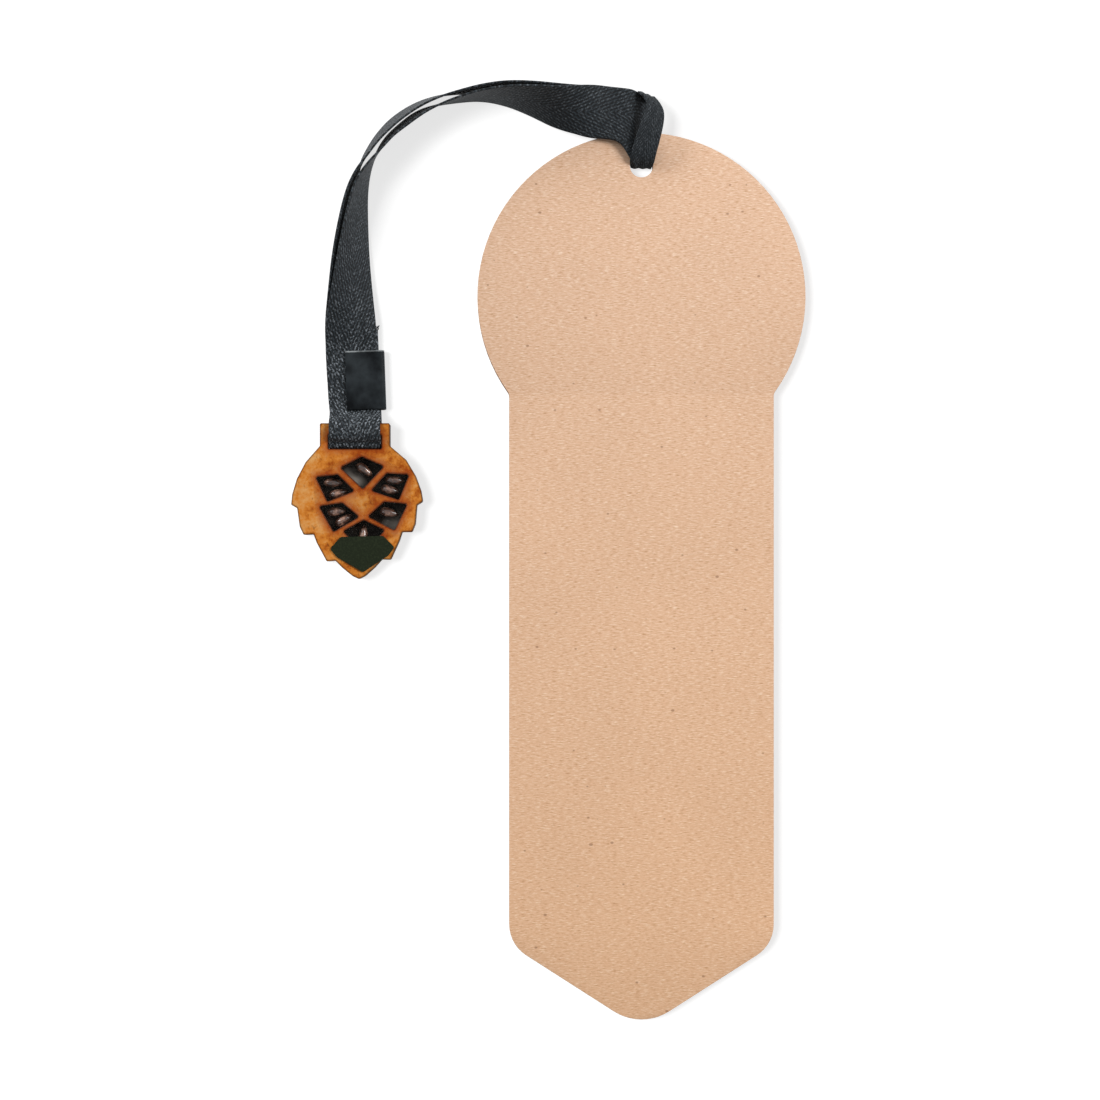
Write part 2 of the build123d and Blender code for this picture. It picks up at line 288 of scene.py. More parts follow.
@dataclass(frozen=True)
class WovenTape(Finish):
    """Polyester herringbone tape, woven: charcoal, with slanted stitches, light flecks and a soft sheen."""

    name: str = "woven herringbone tape"
    dark: str = "#030404"
    base: str = "#101519"
    light: str = "#2D3439"
    fleck: str = "#AEB6BE"
    sheen: str = "#B8BABC"
    rib_mm: float = 5.0
    slant: float = -2.4
    # Real yarns lie about 0.4 mm apart. The stitches and dashes are drawn coarser, so that they show.
    stitch_mm: float = 1.6
    dash_mm: float = 1.0
    wobble_mm: float = 1.1
    wobbles_per_mm: float = 1.7
    fleck_mm: tuple[float, float] = (0.19, 0.27)
    # The flecks are the yarn's own pale fibres; their strength rising along the tape towards the charm is a
    # painted sheen of light.
    fleck_sheen_from_to_mm: tuple[float, float] = (84.0, 101.0)

    def paint(self, tree: Tree) -> Inputs:
        """Paint the weave from the tape's own measure, across and along it in mm.

        Args:
            tree: The material's node tree.

        Returns:
            A value or a link for each of the shader's sockets.
        """
        weave = add_node(tree, "Attribute", attribute_name="weave").outputs["Vector"]
        measure = add_node(tree, "SeparateXYZ", {0: weave}).outputs
        across, along = measure["X"], measure["Y"]
        rib = add_node(tree, "Math", {0: across, 1: self.rib_mm}, operation="PINGPONG")
        slant = add_node(tree, "Math", {0: rib, 1: self.slant, 2: along}, operation="MULTIPLY_ADD")
        wobble = add_node(tree, "TexNoise", {"Vector": weave, "Scale": self.wobbles_per_mm, "Detail": 3.0})
        loose = add_node(tree, "Math", {0: wobble, 1: self.wobble_mm, 2: slant}, operation="MULTIPLY_ADD")
        stitch_turn = add_node(tree, "Math", {0: loose, 1: math.tau / self.stitch_mm}, operation="MULTIPLY")
        stitches = add_node(tree, "Math", {0: stitch_turn}, operation="SINE")
        half_turn = add_node(tree, "Math", {0: stitch_turn, 1: 0.5}, operation="MULTIPLY")
        dash_turn = add_node(
            tree, "Math", {0: along, 1: math.tau / self.dash_mm, 2: half_turn}, operation="MULTIPLY_ADD"
        )
        dashes = add_node(tree, "Math", {0: dash_turn}, operation="SINE")
        woven = add_node(tree, "Math", {0: dashes, 1: 0.55, 2: stitches}, operation="MULTIPLY_ADD")
        height = add_node(tree, "MapRange", {0: woven, "From Min": -1.55, "From Max": 1.55})
        fleck_scale = (1 / self.fleck_mm[0], 1 / self.fleck_mm[1], 1.0)
        fleck_place = add_node(tree, "Mapping", {"Vector": weave, "Scale": fleck_scale})
        flecks = add_node(
            tree, "TexVoronoi", {"Vector": fleck_place, "Scale": 1.0}, voronoi_dimensions="2D"
        )
        fleck_tone = add_node(tree, "SeparateColor", {0: flecks.outputs["Color"]})
        tones = [(0.1, self.dark), (0.5, self.base), (0.95, self.light)]
        thread_colour = add_node(tree, "ValToRGB", {0: height}, stops=tones)
        # Painted sheen: the flecks grow stronger along the tape towards the charm.
        sheen_start, sheen_full = self.fleck_sheen_from_to_mm
        fleck_sheen = add_node(
            tree,
            "MapRange",
            {0: along, "From Min": sheen_start, "From Max": sheen_full, "To Min": 0.22, "To Max": 0.7},
        )
        fleck_mask = add_node(tree, "MapRange", {0: fleck_tone, "From Min": 0.6, "To Max": fleck_sheen})
        raised = add_node(tree, "Math", {0: fleck_mask, 1: height}, operation="MULTIPLY")
        colour = add_node(
            tree, "Mix", {0: raised, 6: thread_colour, 7: linear(self.fleck)}, data_type="RGBA"
        )
        bump = add_node(tree, "Bump", {"Height": height, "Strength": 0.7, "Distance": 0.08 * MM})
        return {
            "Base Color": colour,
            "Normal": bump,
            "Roughness": 0.7,
            "Specular IOR Level": 0.18,
            "Sheen Weight": 0.17,
            "Sheen Roughness": 0.4,
            "Sheen Tint": linear(self.sheen),
        }


@dataclass(frozen=True)
class LooseThread(Finish):
    """Loose polyester yarn at the tape's cut end: charcoal, paler where its filaments spread."""

    name: str = "loose polyester yarn"
    dark: str = "#0A0C0E"
    light: str = "#343A3F"
    # Real filaments are about 0.02 mm thick. Their spread is drawn coarser, so that it shows.
    filament_mm: float = 0.4

    def paint(self, tree: Tree) -> Inputs:
        """Paint dark and pale stretches along the yarns.

        Args:
            tree: The material's node tree.

        Returns:
            A value or a link for each of the shader's sockets.
        """
        place = add_node(tree, "TexCoord").outputs["Object"]
        scale = 1 / (MM * self.filament_mm)
        spread = add_node(tree, "TexNoise", {"Vector": place, "Scale": scale, "Detail": 2.0})
        colour = add_node(tree, "ValToRGB", {0: spread}, stops=[(0.35, self.dark), (0.7, self.light)])
        return {
            "Base Color": colour,
            "Roughness": 0.7,
            "Specular IOR Level": 0.1,
            "Sheen Weight": 0.1,
            "Sheen Roughness": 0.4,
        }


@dataclass(frozen=True)
class ClipPlastic(Finish):
    """Soft black PVC strip, calendered and crimped: satin, rippled and worn, with a painted highlight along
    its top end.
    """

    name: str = "black pvc strip"
    base: str = "#131517"
    worn: str = "#303538"
    # The next tone and width paint a highlight: a pale band along the top end, where the edge catches the
    # light.
    cut: str = "#A9AEB0"
    ripple_mm: float = 3.4
    highlight_mm: float = 0.34
    end_normal: Place = (0.0, 1.0, 0.0)
    end_reach: float = 0.0

    def paint(self, tree: Tree) -> Inputs:
        """Paint faint ripples, worn patches and a painted highlight along the top end, broken up by the
        ripples.

        Args:
            tree: The material's node tree.

        Returns:
            A value or a link for each of the shader's sockets.
        """
        place = add_node(tree, "TexCoord").outputs["Object"]
        scale = 1 / (MM * self.ripple_mm)
        ripple = add_node(tree, "TexNoise", {"Vector": place, "Scale": scale, "Detail": 3.0})
        skin = add_node(tree, "ValToRGB", {0: ripple}, stops=[(0.32, self.base), (0.72, self.worn)])
        # Painted highlight: a pale band along the top end, broken up by the ripples.
        reach = add_node(tree, "VectorMath", {0: place, 1: self.end_normal}, operation="DOT_PRODUCT")
        pale_from = self.end_reach - self.highlight_mm * MM
        pale_to = self.end_reach - 0.5 * self.highlight_mm * MM
        highlight_band = add_node(tree, "MapRange", {0: reach, "From Min": pale_from, "From Max": pale_to})
        highlight_breakup = add_node(
            tree,
            "MapRange",
            {0: ripple, "From Min": 0.42, "From Max": 0.58, "To Min": 0.3, "To Max": 0.75},
        )
        highlight_mask = add_node(tree, "Math", {0: highlight_band, 1: highlight_breakup}, operation="MULTIPLY")
        colour = add_node(tree, "Mix", {0: highlight_mask, 6: skin, 7: linear(self.cut)}, data_type="RGBA")
        gloss = add_node(
            tree,
            "MapRange",
            {0: ripple, "From Min": 0.3, "From Max": 0.7, "To Min": 0.34, "To Max": 0.5},
        )
        bump = add_node(tree, "Bump", {"Height": ripple, "Strength": 0.25, "Distance": 0.08 * MM})
        return {
            "Base Color": colour,
            "Normal": bump,
            "Roughness": gloss,
            "IOR": 1.5,
            "Specular IOR Level": 0.03,
        }


@dataclass(frozen=True)
class VarnishedPly(Finish):
    """Birch plywood, laser-cut, stained, varnished: orange-brown, scorched round its cuts, burnt walls."""

    name: str = "varnished birch ply"
    base: str = "#CC7D2E"
    deep: str = "#9A480E"
    pale: str = "#D8A060"
    scorch: str = "#982E08"
    burnt: str = "#26120A"
    pore: str = "#4A220E"
    cloud_mm: float = 4.5
    grain_mm: float = 0.9
    # Real pores are about 0.1 mm wide. They are drawn coarser, so that they show.
    pore_mm: float = 0.5
    scorch_from_to_mm: tuple[float, float] = (0.95, -0.75)
    line_mm: float = 0.34
    pale_from_to_mm: tuple[float, float] = (-47.0, -68.0)

    def paint(self, tree: Tree) -> Inputs:
        """Paint the stain, pores, scorch and burnt walls.

        Args:
            tree: The material's node tree.

        Returns:
            A value or a link for each of the shader's sockets.
        """
        where = add_node(tree, "TexCoord").outputs
        place = where["Object"]
        scale = 1 / (MM * self.cloud_mm)
        cloud = add_node(
            tree, "TexNoise", {"Vector": place, "Scale": scale, "Detail": 4.0, "Roughness": 0.6}
        )
        side = add_node(tree, "SeparateXYZ", {0: place}).outputs["X"]
        right, left = (edge * MM for edge in self.pale_from_to_mm)
        to_left = add_node(
            tree,
            "MapRange",
            {0: side, "From Min": right, "From Max": left, "To Min": 0.01, "To Max": 0.065},
        )
        scale = 1 / (MM * self.grain_mm)
        grain = add_node(
            tree, "TexNoise", {"Vector": place, "Scale": scale, "Detail": 3.0, "Roughness": 0.7}
        )
        mottled = add_node(tree, "Math", {0: grain, 1: 0.6, 2: cloud}, operation="MULTIPLY_ADD")
        shifted = add_node(tree, "Math", {0: mottled, 1: 0.3}, operation="SUBTRACT")
        toned = add_node(tree, "Math", {0: shifted, 1: to_left}, operation="ADD")
        tones = [(0.32, self.deep), (0.52, self.base), (0.76, self.pale)]
        stain = add_node(tree, "ValToRGB", {0: toned}, stops=tones)
        pitch = MM * self.pore_mm
        pore_place = add_node(
            tree, "Mapping", {"Vector": place, "Scale": (1 / pitch, 0.45 / pitch, 1 / MM)}
        )
        pores = add_node(tree, "TexNoise", {"Vector": pore_place, "Scale": 1.0, "Detail": 2.0})
        pore_mask = add_node(
            tree, "MapRange", {0: pores, "From Min": 0.62, "From Max": 0.74, "To Max": 0.5}
        )
        grained = add_node(tree, "Mix", {0: pore_mask, 6: stain, 7: linear(self.pore)}, data_type="RGBA")
        window = add_node(tree, "Attribute", attribute_name="window_mm").outputs["Fac"]
        ragged = add_node(tree, "Math", {0: cloud, 1: -1.6, 2: window}, operation="MULTIPLY_ADD")
        clean, charred = self.scorch_from_to_mm
        scorch_mask = add_node(
            tree, "MapRange", {0: ragged, "From Min": clean, "From Max": charred, "To Max": 0.72}
        )
        scorched = add_node(
            tree, "Mix", {0: scorch_mask, 6: grained, 7: linear(self.scorch)}, data_type="RGBA"
        )
        edge = add_node(tree, "Attribute", attribute_name="edge_mm").outputs["Fac"]
        line_mask = add_node(
            tree, "MapRange", {0: edge, "From Min": self.line_mm, "From Max": 0.0, "To Max": 0.9}
        )
        normal = add_node(tree, "SeparateXYZ", {0: where["Normal"]}).outputs["Z"]
        upright = add_node(tree, "Math", {0: normal}, operation="ABSOLUTE")
        wall = add_node(tree, "Math", {0: upright, 1: 0.6}, operation="LESS_THAN")
        dark_mask = add_node(tree, "Math", {0: line_mask, 1: wall}, operation="MAXIMUM")
        colour = add_node(
            tree, "Mix", {0: dark_mask, 6: scorched, 7: linear(self.burnt)}, data_type="RGBA"
        )
        bump = add_node(tree, "Bump", {"Height": cloud, "Strength": 0.25, "Distance": 0.15 * MM})
        return {
            "Base Color": colour,
            "Normal": bump,
            "Roughness": 0.42,
            "Specular IOR Level": 0.05,
            "Coat Weight": 0.05,
            "Coat Roughness": 0.18,
        }


@dataclass(frozen=True)
class ClearFilm(Finish):
    """Clear acetate film, cast: see-through, with a thin gloss and a trace of dust."""

    name: str = "clear acetate film"
    tint: str = "#2A2826"
    haze: str = "#5A5854"
    haze_mm: float = 2.2

    def paint(self, tree: Tree) -> Inputs:
        """Paint the haze; the film is nearly all see-through.

        Args:
            tree: The material's node tree.

        Returns:
            A value or a link for each of the shader's sockets.
        """
        place = add_node(tree, "TexCoord").outputs["Object"]
        scale = 1 / (MM * self.haze_mm)
        dust = add_node(tree, "TexNoise", {"Vector": place, "Scale": scale, "Detail": 3.0})
        colour = add_node(tree, "ValToRGB", {0: dust}, stops=[(0.3, self.tint), (0.7, self.haze)])
        return {
            "Base Color": colour,
            "Alpha": 0.035,
            "Roughness": 0.16,
            "Specular IOR Level": 0.04,
            "IOR": 1.48,
        }


@dataclass(frozen=True)
class SealPaper(Finish):
    """Dark green printed paper: nearly matt ink over fine paper tooth."""

    name: str = "dark green printed paper"
    ink: str = "#1E2418"
    worn: str = "#2C3323"
    # Real paper tooth is about 0.1 mm. It is drawn coarser, so that it shows.
    tooth_mm: float = 0.35

    def paint(self, tree: Tree) -> Inputs:
        """Paint the ink with small worn spots.

        Args:
            tree: The material's node tree.

        Returns:
            A value or a link for each of the shader's sockets.
        """
        place = add_node(tree, "TexCoord").outputs["Object"]
        scale = 1 / (MM * self.tooth_mm)
        tooth = add_node(tree, "TexNoise", {"Vector": place, "Scale": scale, "Detail": 3.0})
        colour = add_node(tree, "ValToRGB", {0: tooth}, stops=[(0.45, self.ink), (0.8, self.worn)])
        bump = add_node(tree, "Bump", {"Height": tooth, "Strength": 0.2, "Distance": 0.03 * MM})
        return {"Base Color": colour, "Normal": bump, "Roughness": 0.55, "Specular IOR Level": 0.05}


@dataclass(frozen=True)
class BackingSheet(Finish):
    """Dark coated paper: brown-black with a satin skin, and two pale patches of painted reflection."""

    name: str = "dark coated paper"
    base: str = "#17120F"
    brown: str = "#33281F"
    # Pale tone of two painted reflections of the light on the glossy sheet.
    painted_reflection: str = "#B8B1A8"
    mottle_mm: float = 1.6

    def paint(self, tree: Tree) -> Inputs:
        """Paint the mottling and two patches of painted reflection, one in the top window and one at the
        lower right.

        Args:
            tree: The material's node tree.

        Returns:
            A value or a link for each of the shader's sockets.
        """
        place = add_node(tree, "TexCoord").outputs["Object"]
        scale = 1 / (MM * self.mottle_mm)
        mottle = add_node(tree, "TexNoise", {"Vector": place, "Scale": scale, "Detail": 2.0})
        coat = add_node(tree, "ValToRGB", {0: mottle}, stops=[(0.4, self.base), (0.7, self.brown)])
        # Two painted reflections: soft pale ovals in the top window and at the lower right.
        top = self.patch(tree, place, (-55.9, 18.9), (3.3, 1.9), -44.0)
        lower = self.patch(tree, place, (-48.2, 10.1), (3.1, 2.5), 40.0)
        both = add_node(tree, "Math", {0: top, 1: lower}, operation="MAXIMUM")
        colour = add_node(tree, "Mix", {0: both, 6: coat, 7: linear(self.painted_reflection)}, data_type="RGBA")
        return {"Base Color": colour, "Roughness": 0.45, "Specular IOR Level": 0.04}

    def patch(
        self,
        tree: Tree,
        place: bpy.types.NodeSocket,
        centre_mm: tuple[float, float],
        reach_mm: tuple[float, float],
        turn: float,
    ) -> Node:
        """Give a soft oval patch of painted reflection on the sheet.

        Args:
            tree: The material's node tree.
            place: The socket of the object's own coordinates.
            centre_mm: The patch's x and y.
            reach_mm: Half its length and half its width, where it has faded out.
            turn: The angle of its length to X, in degrees.

        Returns:
            A node whose first output is the patch's strength.
        """
        oval = add_node(
            tree,
            "Mapping",
            {
                "Vector": place,
                "Location": (centre_mm[0] * MM, centre_mm[1] * MM, 0.0),
                "Rotation": (0.0, 0.0, math.radians(turn)),
                "Scale": (reach_mm[0] * MM, reach_mm[1] * MM, 1.0),
            },
            vector_type="TEXTURE",
        )
        away = add_node(tree, "VectorMath", {0: oval}, operation="LENGTH")
        return add_node(tree, "MapRange", {0: away, "From Min": 1.0, "From Max": 0.1, "To Max": 0.8})


@dataclass(frozen=True)
class SeedCoat(Finish):
    """Pine seed coat: hard and glossy, dark brown with paler mottling."""

    name: str = "pine seed coat"
    dark: str = "#2C1A13"
    base: str = "#5C3B2D"
    pale: str = "#B58C77"
    mottle_mm: float = 1.1

    def paint(self, tree: Tree) -> Inputs:
        """Paint the mottling, with bumps that follow it.

        Args:
            tree: The material's node tree.

        Returns:
            A value or a link for each of the shader's sockets.
        """
        place = add_node(tree, "TexCoord").outputs["Object"]
        scale = 1 / (MM * self.mottle_mm)
        mottle = add_node(
            tree, "TexNoise", {"Vector": place, "Scale": scale, "Detail": 2.0, "Roughness": 0.6}
        )
        tones = [(0.34, self.dark), (0.5, self.base), (0.68, self.pale)]
        colour = add_node(tree, "ValToRGB", {0: mottle}, stops=tones)
        bump = add_node(tree, "Bump", {"Height": mottle, "Strength": 0.3, "Distance": 0.08 * MM})
        return {
            "Base Color": colour,
            "Normal": bump,
            "Roughness": 0.3,
            "Coat Weight": 0.7,
            "Coat Roughness": 0.12,
        }


def deselect_all() -> None:
    """Leave edit mode and deselect every object."""
    if bpy.context.object and bpy.context.object.mode != "OBJECT":
        bpy.ops.object.mode_set(mode="OBJECT")
    bpy.ops.object.select_all(action="DESELECT")


def make_active(piece: Piece) -> None:
    """Select one object alone and make it active.

    Args:
        piece: The object to work on.
    """
    deselect_all()
    piece.select_set(True)
    bpy.context.view_layer.objects.active = piece


def apply_modifier(piece: Piece, kind: str, **settings: object) -> None:
    """Add a modifier with its settings and apply it.

    Args:
        piece: The object to change.
        kind: The modifier's type.
        settings: Its options.
    """
    make_active(piece)
    modifier = piece.modifiers.new(kind.lower(), kind)
    for key, value in settings.items():
        setattr(modifier, key, value)
    bpy.ops.object.modifier_apply(modifier=modifier.name)


def round_edges(piece: Piece, width_mm: float, segments: int, degrees: float) -> None:
    """Bevel the edges of a piece that are sharper than an angle.

    Args:
        piece: The object to change.
        width_mm: The bevel's width.
        segments: The steps of its round.
        degrees: The least angle of an edge that gets one.
    """
    angle = math.radians(degrees)
    apply_modifier(
        piece, "BEVEL", width=width_mm * MM, segments=segments, limit_method="ANGLE", angle_limit=angle
    )


def merge_doubles(piece: Piece, reach_mm: float, outwards: bool = False) -> None:
    """Merge the points of a mesh that lie on each other.

    Args:
        piece: The object to change.
        reach_mm: How far apart they may be.
        outwards: Whether its faces are then turned outwards.
    """
    make_active(piece)
    bpy.ops.object.mode_set(mode="EDIT")
    bpy.ops.mesh.select_all(action="SELECT")
    bpy.ops.mesh.remove_doubles(threshold=reach_mm * MM)
    if outwards:
        bpy.ops.mesh.normals_make_consistent(inside=False)
    bpy.ops.object.mode_set(mode="OBJECT")


def smooth(piece: Piece, degrees: float) -> None:
    """Shade a piece smooth, with edges sharper than an angle kept.

    Args:
        piece: The object to shade.
        degrees: The angle past which an edge stays sharp.
    """
    make_active(piece)
    bpy.ops.object.shade_smooth_by_angle(angle=math.radians(degrees))


def copy_node(node: str, name: str) -> Piece:
    """Copy a CAD node into a new object with its own merged mesh.

    Args:
        node: The CAD node's name.
        name: The new piece's name.

    Returns:
        The copy, at the origin and on no body.
    """
    piece = bpy.data.objects.new(name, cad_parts[node].data.copy())
    bpy.context.scene.collection.objects.link(piece)
    piece.data.materials.clear()
    merge_doubles(piece, 0.002)
    return piece


def coat(piece: Piece, finish: Finish) -> None:
    """Give a piece its finish and report it.

    Args:
        piece: A new piece, or a CAD node that keeps its shape.
        finish: What it is made of.
    """
    piece.data.materials.clear()
    piece.data.materials.append(finish.material())
    log.info("%s: %d faces, %s", piece.name, len(piece.data.polygons), finish.name)


def dress(piece: Piece, finish: Finish) -> None:
    """Give a new piece its finish.

    Args:
        piece: The finished piece.
        finish: What it is made of.
    """
    coat(piece, finish)


def follow_spline(points_mm: list[Place], resolution: int) -> np.ndarray:
    """Give the line of a NURBS spline with those control points.

    Args:
        points_mm: Control points in mm.
        resolution: Points along each span.

    Returns:
        An array of points in metres.
    """
    curve = bpy.data.curves.new("line", "CURVE")
    curve.dimensions = "3D"
    spline = curve.splines.new("NURBS")
    spline.points.add(len(points_mm) - 1)
    for point, place in zip(spline.points, points_mm):
        point.co = (*(value * MM for value in place), 1.0)
    spline.order_u = 3
    spline.use_endpoint_u = True
    spline.resolution_u = resolution
    carrier = bpy.data.objects.new("line", curve)
    mesh = bpy.data.meshes.new_from_object(carrier)
    line = np.array([vertex.co for vertex in mesh.vertices])
    bpy.data.objects.remove(carrier)
    bpy.data.curves.remove(curve)
    bpy.data.meshes.remove(mesh)
    return line


@dataclass
class Tape:
    """A stretch of the woven ribbon between two edge lines, with its own weave measure."""

    name: str
    outer_mm: list[Place]
    inner_mm: list[Place]
    thickness_mm: float = 0.4
    columns: int = 24
    resolution: int = 8
    pleats: float = 0.0
    pleat_mm: float = 0.0
    start_mm: float = 0.0
    flat_width_mm: float = 10.0
    finish: WovenTape = field(default_factory=WovenTape)
    centre_line: list[Place] = field(default_factory=list)
    length: float = 0.0

    def build(self) -> Piece:
        """Lay a grid between the edge lines, give it thickness and dress it.

        Returns:
            The finished piece of tape, on no body yet.
        """
        outer = follow_spline(self.outer_mm, self.resolution)
        inner = follow_spline(self.inner_mm, self.resolution)
        middle = (outer + inner) / 2
        steps = np.linalg.norm(np.diff(middle, axis=0), axis=1)
        along = np.concatenate([[0.0], np.cumsum(steps)])
        self.length = float(along[-1])
        self.centre_line = [tuple(float(v) for v in point) for point in middle]
        deselect_all()
        bpy.ops.mesh.primitive_grid_add(
            x_subdivisions=self.columns, y_subdivisions=len(outer) - 1, size=1.0, calc_uvs=True
        )
        piece = bpy.context.object
        piece.name = self.name
        piece.data.name = self.name
        count = len(piece.data.vertices)
        flat = np.zeros(count * 3)
        piece.data.vertices.foreach_get("co", flat)
        flat = flat.reshape(-1, 3)
        share = flat[:, 0] + 0.5
        row = np.rint((flat[:, 1] + 0.5) * (len(outer) - 1)).astype(int)
        heading = np.gradient(middle, axis=0)
        across = inner - outer
        up = np.cross(heading, across)
        up /= np.linalg.norm(up, axis=1)[:, None]
        place = outer[row] + across[row] * share[:, None]
        ripple = np.cos(share * self.pleats * math.tau) * self.pleat_mm * MM
        place += up[row] * ripple[:, None]
        piece.data.vertices.foreach_set("co", place.ravel())
        width = np.linalg.norm(across, axis=1)[row]
        if self.pleats:
            width = np.full(count, self.flat_width_mm * MM)
        measure = np.stack([share * width / MM, along[row] / MM + self.start_mm, np.zeros(count)], axis=1)
        weave = piece.data.attributes.new("weave", "FLOAT_VECTOR", "POINT")
        weave.data.foreach_set("vector", measure.ravel().astype(np.float32))
        piece.data.update()
        apply_modifier(piece, "SOLIDIFY", thickness=self.thickness_mm * MM, offset=0.0)
        round_edges(piece, 0.3 * self.thickness_mm, 2, 50)
        smooth(piece, 50)
        dress(piece, self.finish)
        return piece


def strand_edges(stations: list[Station], width_mm: float) -> tuple[list[Place], list[Place]]:
    """Work out a strand's two edges from its stations.

    Args:
        stations: x, y above the hole, z and the roll that lifts the outer edge, in mm and degrees.
        width_mm: The tape's width.

    Returns:
        The outer and the inner edge as lists of points in mm.
    """
    points = [Vector((x, HOLE_Y + y, z)) for x, y, z, _ in stations]
    outer: list[Place] = []
    inner: list[Place] = []
    up = Vector((0, 0, 1))
    for index, (_, _, _, roll) in enumerate(stations):
        run = points[min(index + 1, len(points) - 1)] - points[max(index - 1, 0)]
        run.z = 0.0
        inwards = up.cross(run.normalized())
        across = inwards * math.cos(math.radians(roll)) - up * math.sin(math.radians(roll))
        outer.append(tuple(points[index] - across * width_mm / 2))
        inner.append(tuple(points[index] + across * width_mm / 2))
    return outer, inner


@dataclass
class Ribbon:
    """The doubled ribbon: two strands, the knot's bight, the loop round the bar and the frayed tail."""

    clip: Piece
    width_mm: float = 10.0
    # Stations of the two routes: x, y above the hole, z and roll, in mm and degrees.
    front_stations: list[Station] = field(
        default_factory=lambda: [
            (-6.15, 10.10, 3.05, 0),
            (-10.30, 10.10, 4.20, 16),
            (-16.10, 10.40, 5.25, 52),
            (-21.20, 11.90, 5.05, 70),
            (-26.15, 12.90, 4.85, 83),
            (-31.15, 13.05, 4.70, 94),
            (-35.90, 12.20, 4.60, 100),
            (-40.00, 11.10, 4.50, 106),
            (-43.40, 9.65, 4.40, 110),
            (-46.85, 7.00, 4.40, 109),
            (-49.15, 5.00, 4.45, 107),
            (-51.10, 2.25, 4.45, 103),
            (-52.95, -0.85, 4.45, 93),
            (-54.30, -4.15, 4.55, 82),
            (-55.05, -8.15, 4.60, 74),
            (-55.90, -17.30, 4.45, 59),
            (-56.30, -25.65, 3.90, 40),
            (-56.60, -30.80, 2.55, 15),
            (-56.75, -36.00, 1.10, 0),
            (-56.35, -41.80, 1.10, 0),
        ]
    )
    back_stations: list[Station] = field(
        default_factory=lambda: [
            (-6.15, 10.10, 2.45, 0),
            (-10.30, 10.10, 3.40, 13),
            (-16.10, 11.15, 4.40, 52),
            (-21.30, 13.10, 4.60, 75),
            (-26.35, 14.15, 4.60, 87),
            (-31.25, 14.30, 4.55, 97),
            (-36.00, 13.60, 4.45, 103),
            (-39.50, 12.90, 4.35, 107),
            (-43.65, 11.30, 4.30, 110),
            (-47.75, 8.60, 4.25, 111),
            (-50.45, 5.90, 4.30, 109),
            (-52.25, 3.60, 4.35, 106),
            (-54.00, 0.75, 4.40, 103),
            (-55.55, -2.70, 4.40, 92),
            (-56.60, -7.35, 4.40, 81),
            (-57.20, -16.95, 4.05, 62),
            (-57.00, -25.25, 3.30, 42),
            (-56.85, -30.80, 1.85, 14),
            (-56.70, -36.00, 0.50, 0),
            (-56.30, -41.80, 0.50, 0),
        ]
    )
    # Edges of the leads, from the hole and the top edge to the first stations, in mm.
    front_lead_outer: tuple[Place, ...] = (
        (1.0, 92.4, -0.2),
        (0.7, 93.2, -0.1),
        (0.25, 93.8, 0.3),
        (-0.45, 94.1, 1.5),
        (-1.1, 94.3, 2.75),
        (-2.1, 94.6, 3.2),
        (-3.4, 94.8, 3.15),
    )
    front_lead_inner: tuple[Place, ...] = (
        (-0.9, 79.8, 1.6),
        (-1.1, 79.9, 2.1),
        (-1.3, 80.0, 2.4),
        (-1.5, 80.2, 2.6),
        (-1.8, 80.5, 2.75),
        (-2.7, 81.9, 2.95),
        (-4.1, 84.3, 3.05),
    )
    back_lead_outer: tuple[Place, ...] = (
        (0.8, 92.0, -0.4),
        (0.4, 92.8, -0.35),
        (0.0, 93.4, -0.1),
        (-0.8, 93.8, 0.9),
        (-1.5, 94.1, 2.1),
        (-2.4, 94.5, 2.5),
        (-3.5, 94.8, 2.5),
    )
    back_lead_inner: tuple[Place, ...] = (
        (-0.9, 80.0, 1.0),
        (-1.1, 80.1, 1.5),
        (-1.3, 80.2, 1.8),
        (-1.5, 80.4, 2.0),
        (-1.9, 80.8, 2.2),
        (-2.7, 82.1, 2.35),
        (-4.1, 84.4, 2.4),
    )
    thread_count: int = 46
    stray_count: int = 7
    thread_radius_mm: float = 0.1
    tail_shift_mm: float = -0.75
    pieces: dict[str, Piece] = field(default_factory=dict)

    def build(self) -> None:
        """Build and place every stretch of the ribbon."""
        self.build_bar_loop()
        self.build_fray()
        self.build_knot()
        self.build_strands()

    def build_strands(self) -> None:
        """Lay both strands from the hole, under the bight, round the bend and into the clip."""
        front_outer, front_inner = strand_edges(self.front_stations, self.width_mm)
        back_outer, back_inner = strand_edges(self.back_stations, self.width_mm)
        front = Tape(
            "ribbon_front",
            [*self.front_lead_outer, *front_outer],
            [*self.front_lead_inner, *front_inner],
        )
        back = Tape(
            "ribbon_back",
            [*self.back_lead_outer, *back_outer],
            [*self.back_lead_inner, *back_inner],
            start_mm=3.3,
        )
        tail = [self.pieces["bar_loop"], self.pieces["fray"], self.clip]
        strands = (
            (front, ("ribbon_front_strand", "ribbon_root"), tail),
            (back, ("ribbon_back_strand",), [self.pieces["bight"]]),
        )
        for tape, nodes, company in strands:
            piece = tape.build()
            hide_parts(*nodes)
            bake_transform(piece)

